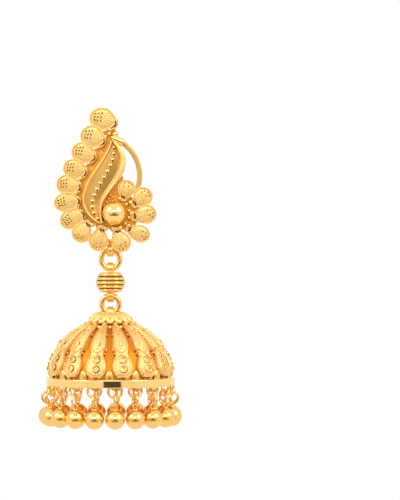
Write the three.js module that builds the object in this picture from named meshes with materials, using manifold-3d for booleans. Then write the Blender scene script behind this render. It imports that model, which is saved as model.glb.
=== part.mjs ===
// A jhumka earring in gold: a stud of fourteen petals round a leaf and a ball, then a ring, a ribbed
// bead and a second ring, which carry a fluted bell with a fringe of nineteen balls on small links.
// Millimetres, +Z up. The face looks along -Y and the wearer's ear is behind it, at +Y.
// The origin is where the ear post leaves the flat back of the stud.
import * as THREE from "three";
import { mergeVertices } from "three/addons/utils/BufferGeometryUtils.js";
import Module from "manifold-3d";

// Stud: petals, leaf and ball on a flat back plate
const STUD_WIDTH = 17.0;
const STUD_HEIGHT = 24.0;
const PLATE_THICKNESS = 0.6;
const PETAL_LENGTH = 4.4;
const PETAL_WIDTH = 3.55;
const PETAL_RISE = 1.15;
const PETAL_SEAT = 0.12; // its foot's place beyond its centre, as a share of its length
const FOOT_RADIUS = 0.95;
const LEAF_WIDTH = 7.2;
const LEAF_HEIGHT = 14.1;
const LEAF_TOP = 6.9;
const LEAF_RISE = 1.5;
const BALL_RADIUS = 1.88;
const BALL_ACROSS = 0.65;
const BALL_DROP = 5.6;
const BALL_PROUD = 0.72; // its centre in front of the plate, as a share of its radius
const PLATE_INSET = 0.36; // from the edges of the pieces that it carries
const SOLDER = 0.12; // how deep one soldered piece sits in the next

// Side bow: a flat wire from the top of the leaf round to the petals, with a sleeve at its top
const BOW_RADIUS = 6.74;
const BOW_WIDTH = 0.9;
const BOW_THICKNESS = 0.55;
const BOW_ACROSS = -1.7; // centre of its arc
const BOW_UP = 1.0;
const BOW_FROM = 68; // degrees above +X
const BOW_TO = -30;
const SLEEVE_DIAMETER = 1.05;
const SLEEVE_LENGTH = 1.8;

// Ear post with its screw back, one plain piece behind the stud
const POST_DIAMETER = 0.9;
const POST_PAD_DIAMETER = 2.6;
const POST_PAD_THICKNESS = 0.3;
const LOBE_GAP = 5.6; // between the stud's back and the screw back
const NUT_DIAMETER = 4.4;
const NUT_THICKNESS = 2.0;
const POST_TAIL = 1.6; // post beyond the screw back

// Rings and their double-wire loops
const RING_WIRE = 0.95;
const UPPER_RING_DIAMETER = 4.15; // outside
const LOWER_RING_DIAMETER = 3.95;
const LOOP_WIRE = 0.48;
const LOOP_CLEARANCE = 0.16; // round the ring's wire
const LOOP_WIRE_SPACING = 0.56;
const LOOP_FLANK = 0.9; // half the height of each wire's flat, as a share of its radius
const LOOP_WAIST = 0.5; // and of the solder between the wires
const SWING_GAP = 0.12; // between a ring and the bead
const STUD_LOOP_DROP = 11.9; // stud's loop below the origin

// Ribbed bead
const BEAD_HEIGHT = 3.45;
const BEAD_RADIUS = 2.55;
const BEAD_GROOVE = 0.24;
const BEAD_NECK = 1.38; // radius at its top and bottom
const BEAD_CREST = 0.28; // height of a turn's flat crest
const BEAD_TURN = 0.69; // height of a whole turn

// Bell: a cap, a wall with raised petals and channels between them, and a rim band
const BELL_RADIUS = 11.07;
const BELL_RISE = 11.76; // from the lower ring's bottom to the centre of the bell's sphere
const CAP_RADIUS = 3.9;
const CAP_FLARE_DROP = 1.6; // cap's widest ring below its mouth
const CAP_EDGE = 0.36;
const CAP_MOUTH_RISE = 0.15; // above the middle of the lower ring's lowest wire
const CAP_MOUTH_RADIUS = 2.05;
const CAP_MOUTH_WALL = 0.45;
const CAP_LIP = 0.1; // drop of the mouth's inner edge
const CAP_UNDER_RADIUS = 3.28; // where the flare turns in below
const CAP_PLUG_RADIUS = 2.6;
const CAP_PLUG_DEPTH = 0.5;
const CAP_SCALLOP = 0.35;
const CAP_LOBES = 14;
const BELL_PETALS = 14;
const CHANNEL_DEPTH = 0.9;
const WALL_THICKNESS = 0.65;
const WALL_FROM = 12; // degrees from the top of the sphere
const WALL_TO = 85.2;
const BAND_HEIGHT = 1.35;
const BAND_THICKNESS = 0.65;
const BAND_TOP_RISE = 0.75; // band's top edge above the sphere's centre

// Fringe: a loop under the band, a link and a ball with its own loop
const DROP_COUNT = 19;
const DROP_PHASE = 5.3; // degrees from the front
const RIM_LOOP_DIAMETER = 2.82; // outside
const RIM_LOOP_WIRE = 0.5;
const RIM_LOOP_DROP = 0.48; // its centre below the band
const LINK_DIAMETER = 2.52; // outside
const LINK_WIRE = 0.4;
const LINK_CLEARANCE = 0.08;
const EYE_DIAMETER = 1.2; // outside
const EYE_WIRE = 0.3;
const FRINGE_BALL_RADIUS = 1.7;

// Facets
const WIRE_SIDES = 6;
const RING_SIDES = 16;
const LOOP_SIDES = 12;
const LINK_SIDES = 10;
const FINE_WIRE_SIDES = 5;
const BALL_SIDES = 10;
const BALL_ROWS = 6;
const BEAD_SIDES = 16;
const SIDES_PER_LOBE = 3;
const BOW_STEPS = 14;

// Petals from the top of the stud round the left and the bottom to the right. across and up are shares of
// the stud's width and height from the origin, turn is the way that the outer end points, in degrees
// from +X towards +Z, and long and wide are shares of the petal's length and width.
const PETALS = [
  { across: -0.072, up: 0.445, turn: 168, long: 1.07, wide: 1.07 },
  { across: -0.176, up: 0.319, turn: 166, long: 0.98, wide: 1.07 },
  { across: -0.269, up: 0.203, turn: 165, long: 0.95, wide: 1.03 },
  { across: -0.358, up: 0.087, turn: 170, long: 0.92, wide: 0.97 },
  { across: -0.423, up: -0.025, turn: 178, long: 0.93, wide: 1.0 },
  { across: -0.442, up: -0.148, turn: 194, long: 0.99, wide: 0.93 },
  { across: -0.388, up: -0.266, turn: 212, long: 0.98, wide: 0.97 },
  { across: -0.279, up: -0.357, turn: 240, long: 0.92, wide: 1.0 },
  { across: -0.116, up: -0.41, turn: 260, long: 1.0, wide: 0.97 },
  { across: 0.099, up: -0.42, turn: 295, long: 0.98, wide: 1.0 },
  { across: 0.276, up: -0.37, turn: 342, long: 0.98, wide: 0.87 },
  { across: 0.338, up: -0.241, turn: 16, long: 1.0, wide: 0.97 },
  { across: 0.314, up: -0.122, turn: 46, long: 0.92, wide: 0.97 },
  { across: 0.16, up: -0.066, turn: 76, long: 0.82, wide: 0.9 },
];

// Sections of a petal from its inner end to its outer end. along is a share of its length, and left and
// right are the half widths as shares of its width.
const PETAL_SECTIONS = [
  { along: 0.0, left: 0.17, right: 0.25 },
  { along: 0.1, left: 0.33, right: 0.39 },
  { along: 0.28, left: 0.45, right: 0.47 },
  { along: 0.5, left: 0.5, right: 0.5 },
  { along: 0.72, left: 0.48, right: 0.48 },
  { along: 0.9, left: 0.33, right: 0.33 },
  { along: 1.0, left: 0.12, right: 0.12 },
];

// Relief across a petal: aside is a share of the half width and rise of the petal's rise.
const PETAL_RELIEF = [
  { aside: -1.0, rise: 0.72 },
  { aside: -0.78, rise: 0.66 },
  { aside: 0.0, rise: 1.0 },
  { aside: 0.78, rise: 0.66 },
  { aside: 1.0, rise: 0.72 },
];

// Sections of the leaf from its top to its tip. down is a share of its height, and left and right are
// where its edges lie, as shares of its width from the origin.
const LEAF_SECTIONS = [
  { down: 0.0, left: 0.03, right: 0.09 },
  { down: 0.072, left: -0.018, right: 0.215 },
  { down: 0.19, left: -0.146, right: 0.339 },
  { down: 0.297, left: -0.286, right: 0.349 },
  { down: 0.416, left: -0.45, right: 0.279 },
  { down: 0.524, left: -0.567, right: 0.139 },
  { down: 0.631, left: -0.636, right: -0.018 },
  { down: 0.726, left: -0.656, right: -0.146 },
  { down: 0.81, left: -0.613, right: -0.197 },
  { down: 0.893, left: -0.519, right: -0.205 },
  { down: 0.958, left: -0.379, right: -0.205 },
  { down: 1.0, left: -0.24, right: -0.19 },
];

// Relief across the leaf: a raised border, a hollow face and a low midrib.
const LEAF_RELIEF = [
  { aside: -1.0, rise: 0.85 },
  { aside: -0.86, rise: 1.0 },
  { aside: -0.6, rise: 0.5 },
  { aside: 0.0, rise: 0.6 },
  { aside: 0.6, rise: 0.5 },
  { aside: 0.86, rise: 1.0 },
  { aside: 1.0, rise: 0.85 },
];

// Rings of wire round the bead. at is a share of its height from the top and wide of its radius.
const BEAD_RINGS = [
  { at: 0.14, wide: 0.8 },
  { at: 0.32, wide: 0.92 },
  { at: 0.51, wide: 1.0 },
  { at: 0.69, wide: 0.92 },
  { at: 0.86, wide: 0.76 },
];

// Sections of the bell's wall from under the cap to the band. along is a share of its arc, wide a petal's
// share of its pitch and full of the channel's depth. A petal is a small lobe, a waist and a large lobe.
const WALL_SECTIONS = [
  { along: 0.0, wide: 0.42, full: 0.6 },
  { along: 0.26, wide: 0.55, full: 0.85 },
  { along: 0.39, wide: 0.6, full: 0.95 },
  { along: 0.58, wide: 0.66, full: 1.0 },
  { along: 0.68, wide: 0.49, full: 0.8 },
  { along: 0.76, wide: 0.66, full: 0.95 },
  { along: 0.84, wide: 0.73, full: 1.0 },
  { along: 0.91, wide: 0.64, full: 0.95 },
  { along: 0.96, wide: 0.45, full: 0.8 },
  { along: 1.0, wide: 0.2, full: 0.3 },
];

// Across a petal of the wall: aside is a share of its half width and rise of its height over the channel.
const WALL_RELIEF = [
  { aside: -1.0, rise: 0.0 },
  { aside: -0.86, rise: 0.82 },
  { aside: 0.0, rise: 1.0 },
  { aside: 0.86, rise: 0.82 },
  { aside: 1.0, rise: 0.0 },
];

// The cap's slope from its flare up to its mouth: out is a share of the way out from the mouth's radius to
// the cap's, and down a share of its drop.
const CAP_SLOPE = [
  { out: 1.0, down: 1.0 },
  { out: 0.85, down: 0.65 },
  { out: 0.5, down: 0.22 },
  { out: 0.0, down: 0.0 },
];

const INSIDE_ROWS = [1.0, 0.7, 0.35, 0.0]; // shares of the arc, from the band up
const EVEN_SPREAD = 0.8; // share of its pitch that a petal's points take on the band

const POLISHED_GOLD = { color: 0xe8b04a, roughness: 0.14, metalness: 1.0 };
const ENGRAVED_GOLD = { color: 0xe9b659, roughness: 0.34, metalness: 1.0 };

const wasm = await Module();
wasm.setup();

// What each piece takes from the next one up
const ringRadius = (diameter) => (diameter - RING_WIRE) / 2;
const LOOP_RADIUS = RING_WIRE / 2 + LOOP_CLEARANCE + LOOP_WIRE / 2;
const UPPER_RING_TOP = -STUD_LOOP_DROP;
const UPPER_RING_BOTTOM = UPPER_RING_TOP - 2 * ringRadius(UPPER_RING_DIAMETER);
const BEAD_TOP = UPPER_RING_BOTTOM - RING_WIRE / 2 - SWING_GAP;
const BEAD_BOTTOM = BEAD_TOP - BEAD_HEIGHT;
const LOWER_RING_TOP = BEAD_BOTTOM - SWING_GAP - RING_WIRE / 2;
const LOWER_RING_BOTTOM = LOWER_RING_TOP - 2 * ringRadius(LOWER_RING_DIAMETER);
const BELL_CENTRE = LOWER_RING_BOTTOM - BELL_RISE;
const BAND_TOP = BELL_CENTRE + BAND_TOP_RISE;
const BAND_BOTTOM = BAND_TOP - BAND_HEIGHT;
const BAND_MIDDLE_RADIUS = BELL_RADIUS - BAND_THICKNESS / 2;
const RIM_LOOP_RADIUS = (RIM_LOOP_DIAMETER - RIM_LOOP_WIRE) / 2;
const RIM_LOOP_CENTRE = BAND_BOTTOM - RIM_LOOP_DROP;
const LINK_TOP = RIM_LOOP_CENTRE - RIM_LOOP_RADIUS + RIM_LOOP_WIRE / 2 + LINK_CLEARANCE + LINK_WIRE / 2;
const LINK_CENTRE = LINK_TOP - (LINK_DIAMETER - LINK_WIRE) / 2;
const LINK_BOTTOM = LINK_CENTRE - (LINK_DIAMETER - LINK_WIRE) / 2;
const EYE_RADIUS = (EYE_DIAMETER - EYE_WIRE) / 2;
const EYE_CENTRE = LINK_BOTTOM - LINK_WIRE / 2 - LINK_CLEARANCE - EYE_WIRE / 2 + EYE_RADIUS;
const FRINGE_BALL_CENTRE = EYE_CENTRE - EYE_RADIUS - FRINGE_BALL_RADIUS;

// A closed geometry as a solid that can be joined and cut.
function solid(geometry) {
  const bare = geometry.clone();
  bare.deleteAttribute("normal");
  bare.deleteAttribute("uv");
  const merged = mergeVertices(bare, 1e-4);
  return new wasm.Manifold(
    new wasm.Mesh({
      numProp: 3,
      vertProperties: merged.attributes.position.array,
      triVerts: new Uint32Array(merged.index.array),
    }),
  );
}

function join(solids) {
  return solids.reduce((whole, next) => whole.add(next));
}

// A solid back as a geometry.
function geometryOf(made) {
  const mesh = made.getMesh();
  const geometry = new THREE.BufferGeometry();
  geometry.setAttribute("position", new THREE.BufferAttribute(mesh.vertProperties, 3));
  geometry.setIndex(new THREE.BufferAttribute(mesh.triVerts, 1));
  geometry.computeVertexNormals();
  return geometry;
}

function piece(name, geometry, finish) {
  const made = new THREE.Mesh(geometry, new THREE.MeshStandardMaterial(finish));
  made.name = name;
  return made;
}

function signedVolume(geometry) {
  const at = geometry.attributes.position;
  const corner = [0, 1, 2].map(() => new THREE.Vector3());
  let volume = 0;
  for (let i = 0; i < geometry.index.count; i += 3) {
    corner.forEach((p, k) => p.fromBufferAttribute(at, geometry.index.getX(i + k)));
    volume += corner[0].dot(corner[1].cross(corner[2])) / 6;
  }
  return volume;
}

// A skin through equal rings of points with its faces pointing out. It is closed by a fan at each end, or
// where it is looped the last ring meets the first.
function loft(rings, looped = false) {
  const count = rings[0].length;
  const total = rings.length * count;
  const last = total - count;
  const index = [];
  for (let start = 0; start < (looped ? total : last); start += count) {
    const onward = (start + count) % total;
    for (let k = 0; k < count; k++) {
      const next = (k + 1) % count;
      index.push(start + k, start + next, onward + next);
      index.push(start + k, onward + next, onward + k);
    }
  }
  for (let k = 1; k + 1 < count && !looped; k++) {
    index.push(0, k + 1, k);
    index.push(last, last + k, last + k + 1);
  }
  const geometry = new THREE.BufferGeometry().setFromPoints(rings.flat());
  geometry.setIndex(index);
  if (signedVolume(geometry) < 0) geometry.setIndex(index.reverse());
  return geometry;
}

// A plate that stands forward of a back plane, from an outline in X and Z.
function plateForward(outline, back, thickness) {
  const shape = new THREE.Shape(outline);
  const geometry = new THREE.ExtrudeGeometry(shape, { depth: thickness, bevelEnabled: false });
  return geometry.rotateX(Math.PI / 2).translate(0, back, 0);
}

// A round ring of wire in the plane of X and Z.
function ring(diameter, wire, sides, wireSides) {
  const torus = new THREE.TorusGeometry((diameter - wire) / 2, wire / 2, wireSides, sides);
  return torus.rotateX(Math.PI / 2);
}

// Two wires side by side bent round X, as a loop that a ring's wire runs through.
function doubleLoop(height) {
  const half = LOOP_WIRE / 2;
  const apart = LOOP_WIRE_SPACING / 2;
  const flank = half * LOOP_FLANK;
  const waist = half * LOOP_WAIST;
  const section = [
    [-apart - half, 0],
    [-apart, -flank],
    [0, -waist],
    [apart, -flank],
    [apart + half, 0],
    [apart, flank],
    [0, waist],
    [-apart, flank],
  ];
  const profile = section.map(([along, out]) => new THREE.Vector2(LOOP_RADIUS + out, along));
  profile.push(profile[0].clone());
  const turned = new THREE.LatheGeometry(profile.reverse(), LOOP_SIDES);
  return solid(facingOut(turned.rotateZ(-Math.PI / 2).translate(0, 0, height)));
}

// Reverses a closed geometry whose faces point in.
function facingOut(geometry) {
  const indexed = geometry.index ? geometry : mergeVertices(geometry);
  if (signedVolume(indexed) < 0) indexed.setIndex([...indexed.index.array].reverse());
  return indexed;
}

// Where each petal lies on the stud
function petalPlace({ across, up, turn, long, wide }) {
  const angle = THREE.MathUtils.degToRad(turn);
  return {
    centre: new THREE.Vector2(across * STUD_WIDTH, up * STUD_HEIGHT),
    out: new THREE.Vector2(Math.cos(angle), Math.sin(angle)),
    side: new THREE.Vector2(-Math.sin(angle), Math.cos(angle)),
    length: long * PETAL_LENGTH,
    width: wide * PETAL_WIDTH,
  };
}

// A petal: a raised border round a domed face, flat behind.
function petal(row) {
  const { centre, out, side, length, width } = petalPlace(row);
  const back = -PLATE_THICKNESS;
  const rings = PETAL_SECTIONS.map(({ along, left, right }) => {
    const middle = centre.clone().addScaledVector(out, (along - 0.5) * length);
    const point = (aside, rise) => {
      const half = aside < 0 ? right : left;
      const at = middle.clone().addScaledVector(side, aside * half * width);
      return new THREE.Vector3(at.x, back - rise * PETAL_RISE, at.y);
    };
    return [point(-1, 0), ...PETAL_RELIEF.map(({ aside, rise }) => point(aside, rise)), point(1, 0)];
  });
  return solid(loft(rings));
}

// Where the petal's foot is soldered to the plate
function petalSeat(row) {
  const { centre, out, length } = petalPlace(row);
  return centre.clone().addScaledVector(out, PETAL_SEAT * length);
}

function leafEdge({ down, right }) {
  return new THREE.Vector2(right * LEAF_WIDTH, LEAF_TOP - down * LEAF_HEIGHT);
}

function leaf() {
  const back = -PLATE_THICKNESS + SOLDER;
  const rings = LEAF_SECTIONS.map(({ down, left, right }) => {
    const height = LEAF_TOP - down * LEAF_HEIGHT;
    const middle = ((left + right) / 2) * LEAF_WIDTH;
    const half = ((right - left) / 2) * LEAF_WIDTH;
    const point = (aside, rise) =>
      new THREE.Vector3(middle + aside * half, back - rise * (LEAF_RISE + SOLDER), height);
    return [point(-1, 0), ...LEAF_RELIEF.map(({ aside, rise }) => point(aside, rise)), point(1, 0)];
  });
  return solid(loft(rings));
}

function bowPoint(degrees, radius) {
  const angle = THREE.MathUtils.degToRad(degrees);
  return new THREE.Vector2(
    BOW_ACROSS + radius * Math.cos(angle),
    BOW_UP + radius * Math.sin(angle),
  );
}

// The back plate runs through the feet of the petals, and up the right edge of the leaf to the bow's sleeve.
function backPlate() {
  const upLeaf = LEAF_SECTIONS.slice(1, 5).reverse().map((row) => leafEdge(row));
  upLeaf.forEach((point) => (point.x -= PLATE_INSET));
  const first = petalPlace(PETALS[0]);
  const last = petalPlace(PETALS[PETALS.length - 1]);
  const outline = [
    ...PETALS.map((row) => petalSeat(row)),
    last.centre.clone().addScaledVector(last.side, last.width / 2 - PLATE_INSET),
    ...upLeaf,
    bowPoint(BOW_FROM, BOW_RADIUS),
    first.centre.clone().addScaledVector(first.out, PLATE_INSET - first.length / 2),
  ];
  return solid(plateForward(outline, 0, PLATE_THICKNESS));
}

function petalFeet() {
  const height = PLATE_THICKNESS + SOLDER;
  return PETALS.map((row) => {
    const seat = petalSeat(row);
    const foot = new THREE.CylinderGeometry(FOOT_RADIUS, FOOT_RADIUS, height, WIRE_SIDES);
    return solid(foot.translate(seat.x, -height / 2, seat.y));
  });
}

function bow() {
  const half = BOW_WIDTH / 2;
  const rings = [];
  for (let step = 0; step <= BOW_STEPS; step++) {
    const degrees = THREE.MathUtils.lerp(BOW_FROM, BOW_TO, step / BOW_STEPS);
    const inner = bowPoint(degrees, BOW_RADIUS - half);
    const outer = bowPoint(degrees, BOW_RADIUS + half);
    const front = -PLATE_THICKNESS - SOLDER;
    const back = front + BOW_THICKNESS;
    rings.push([
      new THREE.Vector3(inner.x, back, inner.y),
      new THREE.Vector3(outer.x, back, outer.y),
      new THREE.Vector3(outer.x, front, outer.y),
      new THREE.Vector3(inner.x, front, inner.y),
    ]);
  }
  return solid(loft(rings));
}

function bowSleeve() {
  const turned = THREE.MathUtils.radToDeg(SLEEVE_LENGTH / 2 / BOW_RADIUS);
  const centre = bowPoint(BOW_FROM - turned, BOW_RADIUS);
  const sleeve = new THREE.CylinderGeometry(
    SLEEVE_DIAMETER / 2,
    SLEEVE_DIAMETER / 2,
    SLEEVE_LENGTH,
    LOOP_SIDES,
  );
  const lean = THREE.MathUtils.degToRad(BOW_FROM - turned);
  const depth = -PLATE_THICKNESS - SOLDER + BOW_THICKNESS / 2;
  sleeve.rotateX(Math.PI / 2).rotateY(-lean);
  return solid(sleeve.translate(centre.x, depth, centre.y));
}

// The neck of plate between the two lowest petals that carries the stud's loop
function loopNeck() {
  const width = LOOP_WIRE_SPACING + LOOP_WIRE;
  const top = petalPlace(PETALS[8]).centre.y;
  const bottom = UPPER_RING_TOP + LOOP_RADIUS;
  const neck = new THREE.BoxGeometry(width, PLATE_THICKNESS, top - bottom);
  return solid(neck.translate(0, -PLATE_THICKNESS / 2, (top + bottom) / 2));
}

function stud() {
  const ball = new THREE.SphereGeometry(BALL_RADIUS, LOOP_SIDES, BALL_ROWS);
  ball.translate(BALL_ACROSS, -PLATE_THICKNESS - BALL_RADIUS * BALL_PROUD, -BALL_DROP);
  const made = join([
    backPlate(),
    ...petalFeet(),
    ...PETALS.map((row) => petal(row)),
    leaf(),
    solid(ball),
    bow(),
    bowSleeve(),
    loopNeck(),
    doubleLoop(UPPER_RING_TOP),
  ]);
  return piece("stud", geometryOf(made), ENGRAVED_GOLD);
}

// A pad against the stud, the post through the lobe, and the screw back.
function earPost() {
  const nutFront = LOBE_GAP;
  const nutBack = LOBE_GAP + NUT_THICKNESS;
  const profile = [
    [0, 0],
    [POST_PAD_DIAMETER / 2, 0],
    [POST_PAD_DIAMETER / 2, POST_PAD_THICKNESS],
    [POST_DIAMETER / 2, POST_PAD_THICKNESS],
    [POST_DIAMETER / 2, nutFront],
    [NUT_DIAMETER / 2, nutFront],
    [NUT_DIAMETER / 2, nutBack],
    [POST_DIAMETER / 2, nutBack],
    [POST_DIAMETER / 2, nutBack + POST_TAIL],
    [0, nutBack + POST_TAIL],
  ].map(([out, along]) => new THREE.Vector2(out, along));
  return piece("ear_post", facingOut(new THREE.LatheGeometry(profile, BEAD_SIDES)), POLISHED_GOLD);
}

function hungRing(name, diameter, top) {
  const made = piece(name, ring(diameter, RING_WIRE, RING_SIDES, WIRE_SIDES), POLISHED_GOLD);
  made.position.z = top - ringRadius(diameter);
  return made;
}

// A bead wound with rings of wire, with a loop above and below.
function connectorBead() {
  const profile = [new THREE.Vector2(0, BEAD_TOP), new THREE.Vector2(BEAD_NECK, BEAD_TOP)];
  BEAD_RINGS.forEach(({ at, wide }, index) => {
    const height = BEAD_TOP - at * BEAD_HEIGHT;
    const crest = wide * BEAD_RADIUS;
    const groove = crest - BEAD_GROOVE;
    const next = BEAD_RINGS[index + 1];
    profile.push(new THREE.Vector2(groove, height + BEAD_TURN / 2));
    profile.push(new THREE.Vector2(crest, height + BEAD_CREST / 2));
    profile.push(new THREE.Vector2(crest, height - BEAD_CREST / 2));
    if (!next) profile.push(new THREE.Vector2(groove, height - BEAD_TURN / 2));
  });
  profile.push(new THREE.Vector2(BEAD_NECK, BEAD_BOTTOM), new THREE.Vector2(0, BEAD_BOTTOM));
  const body = new THREE.LatheGeometry(profile.reverse(), BEAD_SIDES);
  const made = join([
    solid(facingOut(body.rotateX(Math.PI / 2))),
    doubleLoop(UPPER_RING_BOTTOM),
    doubleLoop(LOWER_RING_TOP),
  ]);
  return piece("connector_bead", geometryOf(made), POLISHED_GOLD);
}

// The way out from the bell's axis at an angle from the front
function outward(degrees) {
  const angle = THREE.MathUtils.degToRad(degrees);
  return new THREE.Vector3(Math.sin(angle), -Math.cos(angle), 0);
}

const petalAngles = Array.from({ length: BELL_PETALS }, (_, k) => ((k + 0.5) * 360) / BELL_PETALS);

// One ring of points round the wall. place gives the distance from the axis and the height for a rise.
function wallRing(wide, place) {
  const reach = (wide * 180) / BELL_PETALS;
  return petalAngles.flatMap((front) =>
    WALL_RELIEF.map(({ aside, rise }) => {
      const [out, height] = place(rise);
      return outward(front + aside * reach).multiplyScalar(out).setZ(height);
    }),
  );
}

// The wall goes down the petals and channels, round the band and up its smooth inside.
function bellWall() {
  const channel = BELL_RADIUS - CHANNEL_DEPTH;
  const inside = channel - WALL_THICKNESS;
  const onSphere = (radius, along) => {
    const fall = THREE.MathUtils.degToRad(THREE.MathUtils.lerp(WALL_FROM, WALL_TO, along));
    return [radius * Math.sin(fall), BELL_CENTRE + radius * Math.cos(fall)];
  };
  const outside = WALL_SECTIONS.map(({ along, wide, full }) =>
    wallRing(wide, (rise) => onSphere(channel + rise * full * CHANNEL_DEPTH, along)),
  );
  const level = (out, height) => wallRing(EVEN_SPREAD, () => [out, height]);
  const band = [
    level(channel, BAND_TOP),
    level(BELL_RADIUS, BAND_TOP),
    level(BELL_RADIUS, BAND_BOTTOM),
    level(BELL_RADIUS - BAND_THICKNESS, BAND_BOTTOM),
  ];
  const lining = INSIDE_ROWS.map((along) => level(...onSphere(inside, along)));
  return solid(loft([...outside, ...band, ...lining], true));
}

// The cap: a scalloped flower with a mouth that the lower ring dips into.
function cap() {
  const mouth = LOWER_RING_BOTTOM + CAP_MOUTH_RISE;
  const floor = LOWER_RING_BOTTOM - RING_WIRE / 2 - SWING_GAP;
  const flare = mouth - CAP_FLARE_DROP;
  const under = flare - CAP_EDGE;
  const profile = [
    [0, under - CAP_PLUG_DEPTH],
    [CAP_PLUG_RADIUS, under - CAP_PLUG_DEPTH],
    [CAP_PLUG_RADIUS, under],
    [CAP_UNDER_RADIUS, under],
    ...CAP_SLOPE.map(({ out, down }) => [
      THREE.MathUtils.lerp(CAP_MOUTH_RADIUS, CAP_RADIUS, out),
      mouth - down * CAP_FLARE_DROP,
    ]),
    [CAP_MOUTH_RADIUS - CAP_MOUTH_WALL, mouth - CAP_LIP],
    [CAP_MOUTH_RADIUS - CAP_MOUTH_WALL, floor],
    [0, floor],
  ].map(([out, height]) => new THREE.Vector2(out, height));
  const body = new THREE.LatheGeometry(profile, CAP_LOBES * SIDES_PER_LOBE);
  body.rotateX(Math.PI / 2);
  const at = body.attributes.position;
  for (let i = 0; i < at.count; i++) {
    const out = Math.hypot(at.getX(i), at.getY(i));
    const share = Math.max(0, out - CAP_MOUTH_RADIUS) / (CAP_RADIUS - CAP_MOUTH_RADIUS);
    const turn = Math.atan2(at.getX(i), -at.getY(i));
    const cut = CAP_SCALLOP * share * (1 - Math.abs(Math.cos((turn * CAP_LOBES) / 2)));
    const scale = out > 0 ? (out - cut) / out : 1;
    at.setX(i, at.getX(i) * scale);
    at.setY(i, at.getY(i) * scale);
  }
  return solid(facingOut(body));
}

function rimLoop(front) {
  const out = outward(front).multiplyScalar(BAND_MIDDLE_RADIUS);
  const loop = ring(RIM_LOOP_DIAMETER, RIM_LOOP_WIRE, LINK_SIDES, FINE_WIRE_SIDES);
  loop.rotateZ(THREE.MathUtils.degToRad(front));
  return solid(loop.translate(out.x, out.y, RIM_LOOP_CENTRE));
}

const dropAngles = Array.from({ length: DROP_COUNT }, (_, k) => DROP_PHASE + (k * 360) / DROP_COUNT);

function bell() {
  const made = join([
    cap(),
    bellWall(),
    ...dropAngles.map((front) => rimLoop(front)),
    doubleLoop(LOWER_RING_BOTTOM),
  ]);
  return piece("bell", geometryOf(made), ENGRAVED_GOLD);
}

// A link in the plane of Y and Z, centred on its own origin
function dropLink(name) {
  const link = ring(LINK_DIAMETER, LINK_WIRE, LINK_SIDES, FINE_WIRE_SIDES);
  return piece(name, link.rotateZ(Math.PI / 2), POLISHED_GOLD);
}

// A ball with the eye that the link runs through.
function dropBall(name) {
  const ball = new THREE.SphereGeometry(FRINGE_BALL_RADIUS, BALL_SIDES, BALL_ROWS);
  ball.rotateX(Math.PI / 2).translate(0, 0, FRINGE_BALL_CENTRE);
  const eye = ring(EYE_DIAMETER, EYE_WIRE, LINK_SIDES, FINE_WIRE_SIDES).translate(0, 0, EYE_CENTRE);
  return piece(name, geometryOf(solid(ball).add(solid(eye))), POLISHED_GOLD);
}

// One drop hangs under its rim loop and is turned with it round the bell.
function drop(front, number) {
  const group = new THREE.Group();
  const label = String(number + 1).padStart(2, "0");
  const link = dropLink(`drop_link_${label}`);
  link.position.z = LINK_CENTRE;
  group.add(link, dropBall(`drop_ball_${label}`));
  group.position.copy(outward(front).multiplyScalar(BAND_MIDDLE_RADIUS));
  group.rotation.z = THREE.MathUtils.degToRad(front);
  return group;
}

const earring = new THREE.Group();
earring.add(stud(), earPost());
earring.add(hungRing("upper_ring", UPPER_RING_DIAMETER, UPPER_RING_TOP));
earring.add(connectorBead());
earring.add(hungRing("lower_ring", LOWER_RING_DIAMETER, LOWER_RING_TOP));
earring.add(bell(), ...dropAngles.map((front, number) => drop(front, number)));

export default earring;
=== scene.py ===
# %% [markdown]
# A jhumka is a bell-shaped earring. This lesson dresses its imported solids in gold: a stud of petals round a
# leaf, two rings with a ribbed bead between them, and a bell with a fringe of balls. The solids come in as
# a fixed frame, in metres, and every piece that is modelled here takes the place of one of them.

# %% Load the frame
import math

import bmesh
import bpy
import numpy as np
from mathutils import Matrix, Vector


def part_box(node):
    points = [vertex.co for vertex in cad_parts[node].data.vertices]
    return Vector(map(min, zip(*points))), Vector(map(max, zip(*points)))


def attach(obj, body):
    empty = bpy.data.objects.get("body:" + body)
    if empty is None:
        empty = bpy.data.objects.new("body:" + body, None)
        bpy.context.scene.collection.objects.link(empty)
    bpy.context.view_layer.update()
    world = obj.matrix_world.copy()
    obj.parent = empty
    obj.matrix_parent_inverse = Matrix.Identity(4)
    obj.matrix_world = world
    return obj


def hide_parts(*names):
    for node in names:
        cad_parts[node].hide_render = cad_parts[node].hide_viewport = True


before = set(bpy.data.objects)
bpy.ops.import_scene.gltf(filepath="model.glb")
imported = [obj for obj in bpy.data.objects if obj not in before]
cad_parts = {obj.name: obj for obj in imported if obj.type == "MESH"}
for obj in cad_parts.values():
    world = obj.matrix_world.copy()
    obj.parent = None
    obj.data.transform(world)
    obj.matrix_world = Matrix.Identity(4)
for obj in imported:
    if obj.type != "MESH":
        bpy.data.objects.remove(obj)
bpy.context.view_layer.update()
MM = 0.001

# %% [markdown]
# The same few moves make every piece: a primitive is added, its faces are picked by their place, an edit
# operator shapes them, and a modifier is applied at the end. Short helpers keep these moves readable. An
# operator acts on all that is selected, so each helper starts by deselecting everything.


# %% Helpers for adding and finishing
def deselect():
    if bpy.context.mode != "OBJECT":
        bpy.ops.object.mode_set(mode="OBJECT")
    bpy.ops.object.select_all(action="DESELECT")


def pick(obj):
    deselect()
    obj.select_set(True)
    bpy.context.view_layer.objects.active = obj


def named(name):
    """The primitive that was just added, with its place moved into its mesh."""
    obj = bpy.context.active_object
    obj.name = name
    obj.data.name = name
    pick(obj)
    bpy.ops.object.transform_apply(location=True, rotation=True, scale=True)
    return obj


def join(name, parts):
    deselect()
    for part in parts:
        part.select_set(True)
    bpy.context.view_layer.objects.active = parts[0]
    bpy.ops.object.join()
    parts[0].name = name
    parts[0].data.name = name
    return parts[0]


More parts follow.
